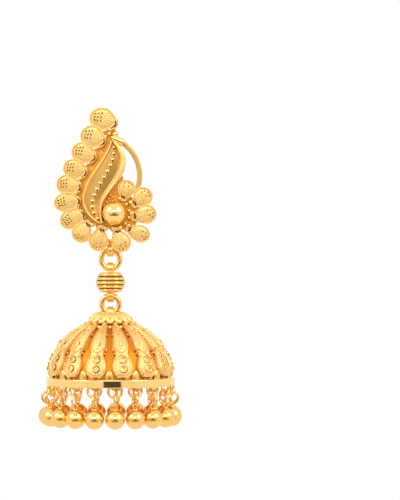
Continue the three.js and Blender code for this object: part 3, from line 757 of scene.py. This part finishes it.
# %% The wound bead
BEAD_RADIUS = 2.62 * MM
BEAD_TURNS = [(0.13, 0.8), (0.32, 0.93), (0.51, 1.0), (0.7, 0.93), (0.88, 0.78)]
BEAD_GROOVES = (0.225, 0.415, 0.605, 0.79)
BEAD_PLAY = 0.12 * MM
bead_top = hold(upper_low, upper_high, False).z - RING_WIRE / 2 - BEAD_PLAY
bead_low = hold(lower_low, lower_high, True).z + RING_WIRE / 2 + BEAD_PLAY
bead_height = bead_top - bead_low
turns = []
for down, wide in BEAD_TURNS:
    centre = (0, 0, bead_top - down * bead_height)
    turns.append(wire_ring("turn", 2 * wide * BEAD_RADIUS, 0.6 * MM, centre, LEVEL, 72, 14))
deselect()
bpy.ops.mesh.primitive_cylinder_add(
    vertices=56, radius=0.72 * BEAD_RADIUS, depth=bead_height, location=(0, 0, (bead_top + bead_low) / 2)
)
core = named("core")
soften(core, 0.25 * MM, 4)
loops = [double_loop("loop", hold(upper_low, upper_high, False)),
         double_loop("loop", hold(lower_low, lower_high, True))]
dress(join("wound_bead", turns + [core] + loops), polished, "connector", ["connector_bead"])
downs, wides = zip(*BEAD_TURNS)
grooves = []
for down in BEAD_GROOVES:
    across = 2 * np.interp(down, downs, wides) * BEAD_RADIUS - 0.28 * MM
    centre = (0, 0, bead_top - down * bead_height)
    grooves.append(wire_ring("groove", across, 0.4 * MM, centre, LEVEL, 72, 8))
dress(join("bead_groove_shades", grooves), painted_shade_gold, "connector", ["connector_bead"])

# %% [markdown]
# The bell is a thin dome with a bright rim band. Over the dome lie fourteen long petals, each a small lobe
# and a large lobe with a waist between them, and the dome shows between them as deep channels, painted a
# deep orange as shade. The dome is a sphere cut by a plane and given a wall, and its inside is burnished, so
# it has a second material. A petal is a grid laid between curved edges and then wrapped on the sphere.

# %% The dome and the rim band
BELL_RADIUS = 11.07 * MM
CHANNEL = 0.9 * MM
DOME_WALL = 0.6 * MM
BELL_CENTRE = -34.5 * MM
BAND_TOP = BELL_CENTRE + 0.75 * MM
BAND_LOW = BAND_TOP - 1.35 * MM
BAND_WALL = 1.2 * MM

deselect()
bpy.ops.mesh.primitive_uv_sphere_add(
    segments=112, ring_count=72, radius=BELL_RADIUS - CHANNEL, location=(0, 0, BELL_CENTRE)
)
dome = named("bell_dome")
select_faces(dome)
bpy.ops.mesh.bisect(plane_co=(0, 0, BAND_TOP - 0.4 * MM), plane_no=(0, 0, 1), clear_inner=True)
bpy.ops.object.mode_set(mode="OBJECT")
modify(dome, "SOLIDIFY", thickness=DOME_WALL, offset=-1)
dress(dome, channel_gold_painted_shade, "bell", ["bell"], smooth=50)
dome.data.materials.append(polished)
dome.active_material_index = 1
middle = Vector((0, 0, BELL_CENTRE))
select_faces(dome, lambda centre, normal: (centre - middle).dot(normal) < 0)
bpy.ops.object.material_slot_assign()
bpy.ops.object.mode_set(mode="OBJECT")

deselect()
bpy.ops.mesh.primitive_cylinder_add(
    vertices=160, radius=BELL_RADIUS, depth=BAND_TOP - BAND_LOW, end_fill_type="NOTHING",
    location=(0, 0, (BAND_TOP + BAND_LOW) / 2),
)
band = named("rim_band")
modify(band, "SOLIDIFY", thickness=BAND_WALL, offset=-1)
soften(band, 0.12 * MM, 3)
dress(band, mirror_gold, "bell", ["bell"], smooth=12)

# %% One long petal of the bell
# Along the petal: its width as a share of the pitch, and its height as a share of the channel's depth.
ALONG = [0.0, 0.26, 0.39, 0.58, 0.68, 0.76, 0.84, 0.91, 0.965, 1.0]
SPREAD = [0.46, 0.6, 0.66, 0.68, 0.53, 0.71, 0.81, 0.77, 0.56, 0.12]
SWELL = [0.6, 0.85, 0.95, 1.0, 0.85, 0.97, 1.0, 0.98, 0.85, 0.6]
# Across the petal: a raised edge, a shallow groove and a domed middle.
ACROSS = [-1.0, -0.97, -0.88, -0.76, 0.0, 0.76, 0.88, 0.97, 1.0]
ACROSS_RISE = [0.0, 0.78, 0.96, 0.82, 1.0, 0.82, 0.96, 0.78, 0.0]
BELL_PETALS = 14
PITCH = 360 / BELL_PETALS
FALL_FROM, FALL_TO = 14, 84.6


def fall_at(along):
    """How far down the sphere a point of the petal lies, as an angle from its top."""
    return math.radians(FALL_FROM + (FALL_TO - FALL_FROM) * along)


def on_bell(aside, along, lift=0.0):
    """A point of the petal that looks forward. aside runs from -1 to 1."""
    fall = fall_at(along)
    reach = math.radians(PITCH / 2 * eased(along, ALONG, SPREAD)) * aside
    rise = np.interp(aside, ACROSS, ACROSS_RISE) * eased(along, ALONG, SWELL)
    radius = BELL_RADIUS - CHANNEL + rise * CHANNEL + lift
    flat = radius * math.sin(fall)
    return Vector((flat * math.sin(reach), -flat * math.cos(reach), BELL_CENTRE + radius * math.cos(fall)))


deselect()
bpy.ops.mesh.primitive_grid_add(x_subdivisions=20, y_subdivisions=56, size=2)
long_petal = named("long_petal")
for vertex in long_petal.data.vertices:
    vertex.co = on_bell(np.sign(vertex.co.x) * abs(vertex.co.x) ** 0.6, (1 - vertex.co.y) / 2)
modify(long_petal, "SOLIDIFY", thickness=0.3 * MM, offset=-1)
select_faces(long_petal)
bpy.ops.mesh.normals_make_consistent(inside=False)
bpy.ops.object.mode_set(mode="OBJECT")

# %% [markdown]
# Each long petal is chased by hand. Fine raised lines outline its two lobes. On it lie two small rings and a
# dot, each with a dark ring of painted shade beside it for its groove, and a few dark punched dots, also
# painted shade. Grains and bright slivers catch the light along its edges, and dark spots of painted shade
# lie at the waist and under the foot. A bump has no height of its own to catch the light, so thin wires and
# grains are laid on with the function that shaped the petal.


# %% The raised lines and the grains on its edges
def lobe_line(start, end, steps=22):
    """Down one side of the petal, round the end of the lobe and up the other side."""
    line = []
    for turn in np.linspace(0, 2 * math.pi, 2 * steps):
        along = (start + end) / 2 - (end - start) / 2 * math.cos(turn)
        line.append(on_bell(0.8 * math.sin(turn) / max(0.72, abs(math.sin(turn))), along, 0.02 * MM))
    return swept_wire("lobe_line", line, 0.17 * MM, sides=1)


lobe_lines = join("lobe_lines", [lobe_line(0.16, 0.66), lobe_line(0.69, 0.96)])
edge_grains = [granule("edge_grain", 0.2 * MM, on_bell(side, along, -0.05 * MM), 12)
               for side in (-1.0, 1.0) for along in (0.31, 0.64)]
lobe_lines = join("lobe_lines", [lobe_lines] + edge_grains)

# %% The rings, and dark rings of painted shade for their grooves
# Where each lies along the petal, and its diameter in millimetres.
MARKS = [(0.765, 1.25), (0.885, 1.25), (0.54, 0.66)]


def mark_rings(size, wire, lift, aside=0.0):
    rings = []
    for along, diameter in MARKS:
        place = on_bell(aside, along - aside / 20, lift * MM)
        turn = (fall_at(along), 0, 0)
        rings.append(wire_ring("mark", diameter * size * MM, wire * MM, place, turn, 28, 8))
    return join("mark", rings)


long_marks = mark_rings(1.0, 0.28, 0.05)
sliver_steps = np.linspace(0.38, 0.59, 10)
sliver_lines = [[on_bell(side, along, -0.12 * MM) for along in sliver_steps] for side in (-1.0, 1.0)]
slivers = [swept_wire("sliver", line, 0.26 * MM, sides=2) for line in sliver_lines]
long_marks = join("mark", [long_marks] + slivers)

long_groove_shades = mark_rings(1.12, 0.24, -0.02, aside=0.06)
dots = [granule("dot", 0.1 * MM, on_bell(side, along), 8)
        for side, along in ((0, 0.2), (-0.3, 0.3), (0.3, 0.3), (0, 0.36), (0, 0.6), (0, 0.68))]
long_groove_shades = join("groove", [long_groove_shades] + dots)


# %% The dark spots of painted shade
def stretched_ball(name, size, place, segments=16, slope=0.0):
    """A ball with its own width, depth and height, leaned about X before it is moved."""
    ball = granule(name, 0.5, (0, 0, 0), segments)
    ball.data.transform(Matrix.Diagonal((*size, 1)))
    ball.data.transform(Matrix.Rotation(slope, 4, "X"))
    ball.data.transform(Matrix.Translation(place))
    return ball


foot_shade = stretched_ball("hollow", (1.5 * MM, 0.9 * MM, 0.42 * MM), on_bell(0, 0.985, -0.45 * MM))
edge_dots = [granule("edge_dot", 0.18 * MM, on_bell(side, along), 8)
             for side in (-1.02, 1.02) for along in (0.345, 0.62, 0.675)]
foot_shade = join("hollow", [foot_shade] + edge_dots)

# %% [markdown]
# A pointed tongue stands at the foot of each channel. A ball flattened to a leaf is enough for it, because
# only its rounded face shows. Petal, marks and tongue are made once, in front, and copied round the bell.


# %% Fourteen petals, tongues and their marks
def turned(degrees):
    """A turn round the bell's axis, from the front towards +X."""
    return Matrix.Rotation(math.radians(degrees), 4, "Z")


tongue_place = (0, -BELL_RADIUS + 0.72 * MM, BAND_TOP + 0.45 * MM)
tongue = stretched_ball("tongue", (1.5 * MM, 0.6 * MM, 2.3 * MM), tongue_place)
angles = [PITCH * (k + 0.5) for k in range(BELL_PETALS)]
fronts = [turned(a) for a in angles]
dress(repeat(long_petal, "bell_petals", fronts), satin, "bell", ["bell"], smooth=60)
dress(repeat(lobe_lines, "bell_petal_lines", fronts), polished, "bell", ["bell"], smooth=60)
dress(repeat(long_marks, "bell_marks", fronts), mirror_gold, "bell", ["bell"])
dress(repeat(long_groove_shades, "bell_groove_shades", fronts), soft_painted_shade, "bell", ["bell"])
dress(repeat(foot_shade, "bell_foot_shades", fronts), painted_shade_gold, "bell", ["bell"])
dress(repeat(tongue, "bell_tongues", [turned(a + PITCH / 2) for a in angles]), hollow_gold, "bell", ["bell"])

# %% [markdown]
# The cap is a flower of fourteen rounded lobes on a short cone, which is painted the deep orange of shade,
# open in the middle where the lower ring dips in. A lobe is a ball stretched down the slope of the cone, and
# each carries a small ring with a dark dot of painted shade in it. Granules close the joint below, and a disc
# closes the bell under its own loop.

# %% The cap
cap_mouth = hold(lower_low, lower_high, False).z + 0.15 * MM
SLOPE = math.radians(42)
lobe_place = Vector((0, -2.85 * MM, cap_mouth - 0.95 * MM))
lobe = stretched_ball("lobe", (1.62 * MM, 2.7 * MM, 1.15 * MM), lobe_place, 24, SLOPE)
lobe_out = Vector((0, -math.sin(SLOPE), math.cos(SLOPE))) * 0.44 * MM
ring_place = lobe_place + lobe_out + Vector((0, -0.45 * MM, -0.4 * MM))
lobe_ring = wire_ring("lobe_ring", 0.72 * MM, 0.14 * MM, ring_place, (SLOPE + 0.15, 0, 0), 20, 8)
under = [granule("under", size * MM, turned(turn) @ on_bell(0, along, lift * MM), 12)
         for size, turn, along, lift in ((0.42, PITCH / 2, 0.14, -0.55), (0.3, 0, 0.13, 0.05))]
lobe_dot = granule("lobe_dot", 0.16 * MM, ring_place, 8)
around = [turned(PITCH * k) for k in range(BELL_PETALS)]
lobes = repeat(lobe, "cap_lobes", around)
rings = repeat(lobe_ring, "cap_rings", around)
dress(repeat(lobe_dot, "cap_dots", around), soft_painted_shade, "bell", ["bell"])
dress(repeat(join("under", under), "cap_granules", fronts), polished, "bell", ["bell"])
deselect()
bpy.ops.mesh.primitive_cone_add(
    vertices=96, radius1=3.5 * MM, radius2=2.0 * MM, depth=1.75 * MM, end_fill_type="NOTHING",
    location=(0, 0, cap_mouth - 0.9 * MM),
)
cone = named("cap_cone")
modify(cone, "SOLIDIFY", thickness=0.4 * MM, offset=-1)
collar = wire_ring("cap_collar", 4.1 * MM, 0.4 * MM, (0, 0, cap_mouth - 0.1 * MM), LEVEL, 72)
bell_loop = double_loop("bell_loop", hold(lower_low, lower_high, False))
deselect()
bpy.ops.mesh.primitive_cylinder_add(
    vertices=48, radius=2.0 * MM, depth=0.5 * MM, location=(0, 0, cap_mouth - 1.05 * MM)
)
floor_disc = named("cap_floor")
dress(cone, channel_gold_painted_shade, "bell", ["bell"])
dress(join("cap_flower", [lobes, collar]), brushed, "bell", ["bell"], smooth=50)
dress(join("cap_rings", [rings, bell_loop, floor_disc]), polished, "bell", ["bell"])

# %% [markdown]
# Nineteen drops hang under the band: a loop that is soldered to it, a link through the loop, and a hollow
# ball whose small eye closes round the link. Every link and ball is a piece of its own, as in the frame.

# %% The fringe
DROPS = 19
DROP_PHASE = 5.3
DROP_RADIUS = BELL_RADIUS - 0.325 * MM
link_low, link_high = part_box("drop_link_01")
ball_low, ball_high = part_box("drop_ball_01")
LOOP_CENTRE = BAND_LOW - 0.48 * MM
LINK_SIZE = 2.52 * MM
FRINGE_BALL = 1.7 * MM
EYE_SIZE = 1.2 * MM

rim_loop = wire_ring("rim_loop", 2.82 * MM, 0.5 * MM, (0, -DROP_RADIUS, LOOP_CENTRE), UPRIGHT, 32, 10)
link_centre = Vector((0, -DROP_RADIUS, (link_low.z + link_high.z) / 2))
link = wire_ring("link", LINK_SIZE, 0.4 * MM, link_centre, SIDEWAYS, 32, 10)
ball_centre = Vector((0, -DROP_RADIUS, ball_low.z + FRINGE_BALL))
eye_centre = Vector((0, -DROP_RADIUS, ball_high.z - EYE_SIZE / 2))
seat_centre = ball_centre + Vector((0, 0, FRINGE_BALL - 0.05 * MM))
hung_ball = join("ball", [
    granule("ball", FRINGE_BALL, ball_centre, 40),
    wire_ring("eye", EYE_SIZE, 0.3 * MM, eye_centre, UPRIGHT, 24, 10),
    wire_ring("seat", 0.95 * MM, 0.3 * MM, seat_centre, LEVEL, 24, 8),
])
drop_turns = [turned(DROP_PHASE + k * 360 / DROPS) for k in range(DROPS)]
loops = join("rim_loops", [copy_of(rim_loop, "loop", turn) for turn in drop_turns])
dress(loops, polished, "bell", ["bell"])
for number, turn in enumerate(drop_turns, 1):
    for kind, model in (("link", link), ("ball", hung_ball)):
        piece = copy_of(model, f"fringe_{kind}_{number:02d}", turn)
        dress(piece, polished, "bell", [f"drop_{kind}_{number:02d}"])
for spare in (rim_loop, link, hung_ball):
    bpy.data.objects.remove(spare)

# %% [markdown]
# Behind the stud a plain post carries a screw back. The nut's edge is knurled for the fingers: every other
# face of the rim is pushed in a little, which an inset with a depth does in one step.

# %% The ear post
post_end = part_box("ear_post")[1].y
NUT_FROM = 5.6 * MM
NUT_THICK = 2.0 * MM
NUT_SIDES = 64


def rod(name, radius, start, end, vertices=40):
    deselect()
    bpy.ops.mesh.primitive_cylinder_add(
        vertices=vertices, radius=radius, depth=end - start,
        location=(0, (start + end) / 2, 0), rotation=UPRIGHT,
    )
    return named(name)


def on_a_knurl(centre, normal):
    """Every other face of the nut's rim."""
    turn = math.degrees(math.atan2(normal.z, normal.x))
    return abs(normal.y) < 0.5 and round(turn / (360 / NUT_SIDES) - 0.5) % 2 == 0


post = rod("post", 0.45 * MM, 0.05 * MM, post_end)
soften(post, 0.2 * MM, 4)
pad = rod("pad", 1.3 * MM, 0.02 * MM, 0.32 * MM)
nut = rod("nut", 2.15 * MM, NUT_FROM, NUT_FROM + NUT_THICK, NUT_SIDES)
select_faces(nut, on_a_knurl)
bpy.ops.mesh.inset(thickness=0.04 * MM, depth=-0.1 * MM, use_individual=True)
bpy.ops.object.mode_set(mode="OBJECT")
select_faces(nut, lambda centre, normal: math.hypot(centre.x, centre.z) < 0.5 * MM)
bpy.ops.mesh.inset(thickness=0.6 * MM, depth=0.0)
bpy.ops.mesh.inset(thickness=0.2 * MM, depth=-0.25 * MM)
bpy.ops.object.mode_set(mode="OBJECT")
dress(join("ear_post_and_nut", [post, pad, nut]), polished, "stud", ["ear_post"], smooth=35)

# %% [markdown]
# The studio is white. Gold looks flat if everything that it mirrors is white, so the light comes from four
# softboxes above the horizon, in a room that is warmer below than above, and three cards stand behind the
# camera. The dark card gives the balls and the band their dark middle, and the two brown ones deepen what
# the flat and lower gold mirrors. None of them is part of the object.


# %% The cards behind the camera
def stage_plane(name, size, centre, turn, colour):
    deselect()
    bpy.ops.mesh.primitive_plane_add(size=1, location=centre, rotation=turn)
    plane = bpy.context.active_object
    plane.name = name
    plane.scale = (size[0], size[1], 1)
    surface = bpy.data.materials.new(name)
    surface.use_nodes = True
    shader = surface.node_tree.nodes["Principled BSDF"]
    shader.inputs["Base Color"].default_value = (*colour, 1)
    plane.data.materials.append(surface)
    return plane


CARDS = [
    ("dark card", (0.48, 0.12), (0.07, -0.85, -0.1), (0.02, 0.015, 0.01)),
    ("low card", (1.7, 0.3), (0.03, -0.86, -0.27), (0.3, 0.18, 0.07)),
    ("brown card", (0.6, 0.13), (0.03, -0.86, 0.075), (0.12, 0.07, 0.035)),
]
for card_name, card_size, card_place, card_colour in CARDS:
    card = stage_plane(card_name, card_size, card_place, UPRIGHT, card_colour)
    card.visible_camera = False
    card.visible_shadow = False


# %% The softboxes
def softbox(name, power, size, centre, target=(0, 0, -0.02)):
    light = bpy.data.lights.new(name, "AREA")
    light.shape = "RECTANGLE"
    light.size, light.size_y = size
    light.energy = power
    lamp = bpy.data.objects.new(name, light)
    lamp.location = centre
    aim = Vector(target) - Vector(centre)
    lamp.rotation_euler = aim.to_track_quat("-Z", "Y").to_euler()
    bpy.context.scene.collection.objects.link(lamp)


softbox("left softbox", 2.8, (0.6, 0.6), (-0.75, -0.5, 0.6))
softbox("right softbox", 2.8, (0.6, 0.6), (0.75, -0.5, 0.6))
softbox("front softbox", 1.3, (0.7, 0.3), (0.0, -0.85, 0.36))
softbox("top softbox", 0.2, (0.9, 0.5), (0.0, -0.1, 0.95))

# %% The room, which the camera itself sees as plain white
world = bpy.data.worlds.new("studio")
bpy.context.scene.world = world
world.use_nodes = True
world_nodes, world_links = world.node_tree.nodes, world.node_tree.links
room = world_nodes["Background"]
way = world_nodes.new("ShaderNodeTexCoord")
split = world_nodes.new("ShaderNodeSeparateXYZ")
world_links.new(way.outputs["Generated"], split.inputs[0])
height = world_nodes.new("ShaderNodeMapRange")
height.inputs["From Min"].default_value = -0.5
height.inputs["From Max"].default_value = 0.5
world_links.new(split.outputs["Z"], height.inputs["Value"])
wall = world_nodes.new("ShaderNodeMix")
wall.data_type = "RGBA"
wall.inputs[6].default_value = (1.0, 0.94, 0.84, 1)
wall.inputs[7].default_value = (0.96, 0.93, 0.89, 1)
world_links.new(height.outputs[0], wall.inputs["Factor"])
world_links.new(wall.outputs[2], room.inputs["Color"])
white = world_nodes.new("ShaderNodeBackground")
white.inputs["Color"].default_value = (1, 1, 1, 1)
path = world_nodes.new("ShaderNodeLightPath")
either = world_nodes.new("ShaderNodeMixShader")
world_links.new(path.outputs["Is Camera Ray"], either.inputs["Fac"])
world_links.new(room.outputs[0], either.inputs[1])
world_links.new(white.outputs[0], either.inputs[2])
world_links.new(either.outputs[0], world_nodes["World Output"].inputs["Surface"])
bpy.context.scene.view_settings.view_transform = "Standard"

# %% [markdown]
# The camera stands straight in front, a little to the right of the earring, and slightly above the bell,
# as in the photograph. Its field is 86 mm high at the earring.

# %% Camera
FIELD_HEIGHT = 86.2 * MM
CAMERA_ACROSS = 15.43 * MM
FIELD_MIDDLE = -11.87 * MM
DISTANCE = 0.7
LIFT = math.radians(1.5)
lens = bpy.data.cameras.new("camera")
lens.sensor_fit = "VERTICAL"
lens.sensor_height = 24.0
lens.lens = lens.sensor_height * DISTANCE / FIELD_HEIGHT
lens.clip_start = 0.01
camera = bpy.data.objects.new("camera", lens)
camera.location = (CAMERA_ACROSS, -DISTANCE * math.cos(LIFT), FIELD_MIDDLE + DISTANCE * math.sin(LIFT))
camera.rotation_euler = (math.pi / 2 - LIFT, 0, 0)
bpy.context.scene.collection.objects.link(camera)
bpy.context.scene.camera = camera
